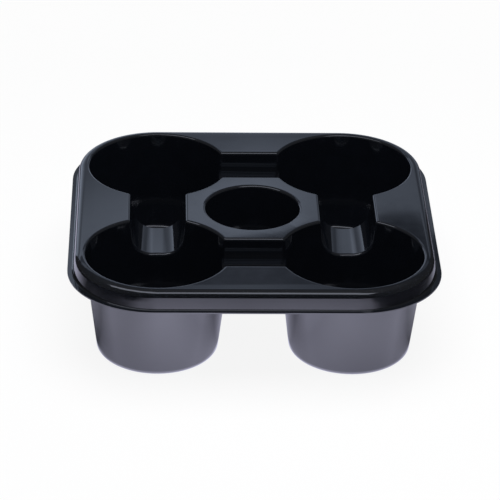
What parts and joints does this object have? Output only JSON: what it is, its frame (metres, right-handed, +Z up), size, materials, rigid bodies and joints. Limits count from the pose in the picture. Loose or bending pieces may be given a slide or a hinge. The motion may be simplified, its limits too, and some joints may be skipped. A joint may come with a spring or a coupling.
{
  "type": "cup carrier tray",
  "caption": "One-piece formed plastic tray that carries drinking cups in deep round wells joined by saddle channels, with a round middle well and a flared rim.",
  "frame": {"origin": "under the middle of the tray, on the plane that the well floors stand on", "axes": "+Z up out of the wells, +X to the right and +Y to the back as the picture shows it"},
  "size_m": [0.216, 0.216, 0.0621],
  "materials": {
    "black_sheet": "glossy black formed sheet"
  },
  "bodies": {
    "root": {"cup_carrier_tray": "black_sheet"}
  },
  "joints": []
}
